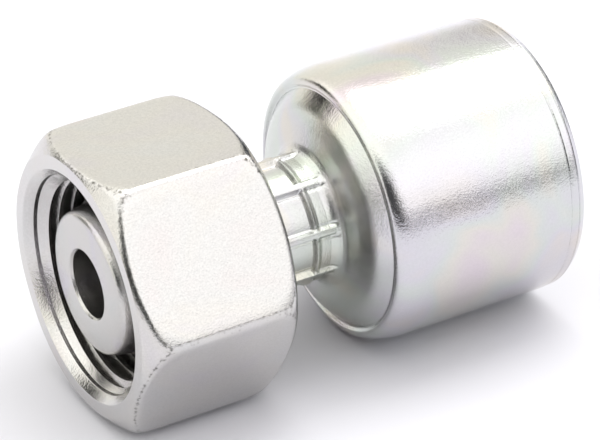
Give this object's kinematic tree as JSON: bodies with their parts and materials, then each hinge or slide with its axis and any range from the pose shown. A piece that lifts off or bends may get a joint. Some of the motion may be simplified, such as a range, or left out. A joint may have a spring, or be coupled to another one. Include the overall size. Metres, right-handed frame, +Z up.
{
  "type": "crimp hose fitting",
  "caption": "Straight crimp hose fitting with a free-turning hex swivel nut, a cone-shaped sealing nose with an O-ring, a crimped neck and an open hose socket.",
  "frame": {"origin": "centre of the nose's front face, on the fitting's axis", "axes": "+X along the axis from the nose to the hose end, +Y across the fitting, +Z up, with one flat of the nut facing down"},
  "size_m": [0.0493, 0.0308, 0.0286],
  "materials": {
    "shell_plating": "bright zinc plating, passivated, with a faint iridescence",
    "nipple_plating": "bright zinc plating over a turned surface",
    "nut_plating": "bright zinc plating over forged and turned faces",
    "seal_rubber": "black nitrile rubber"
  },
  "bodies": {
    "fitting": {"shell": "shell_plating", "nipple": "nipple_plating", "o_ring": "seal_rubber"},
    "swivel_nut": {"nut": "nut_plating"}
  },
  "joints": [
    {"name": "nut_swivel", "type": "hinge", "parent": "fitting", "child": "swivel_nut", "pos_m": [0, 0, 0], "axis": [1, 0, 0], "continuous": true}
  ]
}
